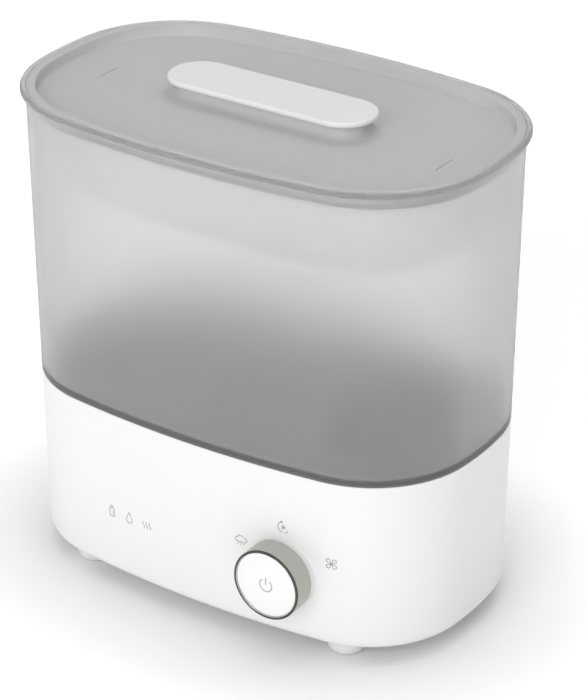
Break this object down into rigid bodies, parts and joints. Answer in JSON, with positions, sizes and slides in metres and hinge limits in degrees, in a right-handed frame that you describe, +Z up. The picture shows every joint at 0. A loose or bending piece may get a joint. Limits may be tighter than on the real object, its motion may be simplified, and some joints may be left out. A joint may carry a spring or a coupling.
{
  "type": "bottle sterilizer",
  "caption": "Electric steam sterilizer and dryer for baby bottles: white base with a rotary selector, tall smoke-grey basket, inner basket and recessed lid with a raised grip.",
  "frame": {"origin": "on the table, under the middle of the rim; the feet stand at Z 0", "axes": "+X to the right along the long side as seen from the front, front with the knob at -Y, +Z up"},
  "size_m": [0.29, 0.1904, 0.2956],
  "materials": {
    "white_plastic": "satin moulded polypropylene",
    "cap_white": "smooth white plastic",
    "smoke_plastic": "frosted smoke-grey translucent polypropylene",
    "lid_plastic": "frosted smoke-grey translucent polypropylene",
    "tray_plastic": "milky translucent polypropylene",
    "deck_plastic": "dark grey moulded plastic",
    "knob_grey": "warm grey satin plastic",
    "trim_dark": "dark plated ring",
    "foot_soft": "pale soft plastic",
    "gland_rubber": "grey rubber",
    "silicone": "silicone seal",
    "plate_steel": "brushed stainless steel",
    "cast_aluminium": "cast aluminium",
    "element_steel": "annealed steel sheath",
    "zinc_steel": "zinc-plated steel",
    "phenolic": "black phenolic",
    "sleeve_white": "glass-fibre sleeve",
    "housing_grey": "glass-filled grey plastic",
    "wheel_plastic": "black moulded plastic",
    "motor_can": "drawn steel can",
    "shaft_steel": "ground steel",
    "ceramic": "ceramic and aluminium fins",
    "filter_paper": "pleated filter paper",
    "acetal": "natural acetal",
    "spring_steel": "spring steel",
    "circuit_board": "green solder mask",
    "switch_black": "black moulded switch",
    "led_clear": "clear lens",
    "relay_blue": "blue relay case",
    "coil_yellow": "yellow tape over a ferrite core",
    "capacitor_sleeve": "shrink sleeve",
    "terminal_green": "green terminal block"
  },
  "bodies": {
    "base": {"base_casing": "white_plastic", "bottom_cover": "white_plastic", "deck": "deck_plastic", "base_screws": "zinc_steel", "heating_plate": "plate_steel", "heater_seal": "silicone", "heat_spreader": "cast_aluminium", "heating_element": "element_steel", "heater_clamp": "zinc_steel", "heater_screws": "zinc_steel", "thermostat": "phenolic", "thermal_fuse": "sleeve_white", "blower_scroll": "housing_grey", "blower_motor": "motor_can", "air_duct": "housing_grey", "air_heater": "ceramic", "outlet_grille": "deck_plastic", "detent_spring": "spring_steel", "button_guide": "acetal", "selector_bracket": "housing_grey", "bracket_screws": "zinc_steel", "selector_board": "circuit_board", "tact_switch": "switch_black", "status_led": "led_clear", "power_board": "circuit_board", "board_screws": "zinc_steel", "relay": "relay_blue", "transformer": "coil_yellow", "capacitor": "capacitor_sleeve", "terminal_block": "terminal_green", "cord_gland": "gland_rubber", "foot_front_left": "foot_soft", "foot_front_right": "foot_soft", "foot_back_left": "foot_soft", "foot_back_right": "foot_soft"},
    "large_basket": {"large_basket": "smoke_plastic", "bottle_rack": "tray_plastic"},
    "small_basket": {"small_basket": "tray_plastic"},
    "plate": {"perforated_plate": "tray_plastic"},
    "lid": {"lid": "lid_plastic", "grip_cap": "cap_white"},
    "selector": {"knob_ring": "knob_grey", "knob_trim": "trim_dark", "mode_cam": "acetal"},
    "power_button": {"power_button": "cap_white", "switch_plunger": "acetal"},
    "blower_rotor": {"impeller": "wheel_plastic", "blower_shaft": "shaft_steel"},
    "filter_cover": {"filter_cover": "white_plastic", "air_filter": "filter_paper"}
  },
  "joints": [
    {"name": "large_basket_lift", "type": "slide", "parent": "base", "child": "large_basket", "axis": [0, 0, 1], "range_m": [0, 0.06]},
    {"name": "small_basket_lift", "type": "slide", "parent": "large_basket", "child": "small_basket", "axis": [0, 0, 1], "range_m": [0, 0.08]},
    {"name": "plate_lift", "type": "slide", "parent": "small_basket", "child": "plate", "axis": [0, 0, 1], "range_m": [0, 0.05]},
    {"name": "lid_lift", "type": "slide", "parent": "plate", "child": "lid", "axis": [0, 0, 1], "range_m": [0, 0.06]},
    {"name": "selector_turn", "type": "hinge", "parent": "base", "child": "selector", "pos_m": [0.0598, -0.07906, 0.051], "axis": [0, -1, 0], "range_deg": [-60, 60], "deforming": ["detent_spring"]},
    {"name": "power_press", "type": "slide", "parent": "base", "child": "power_button", "axis": [0, 1, 0], "range_m": [0, 0.0012], "stiffness_N_per_m": 600},
    {"name": "blower_spin", "type": "hinge", "parent": "base", "child": "blower_rotor", "pos_m": [0.074, 0.016, 0.033], "axis": [0, 0, 1], "continuous": true},
    {"name": "filter_cover_pull", "type": "slide", "parent": "base", "child": "filter_cover", "axis": [0, 1, 0], "range_m": [0, 0.03]}
  ]
}
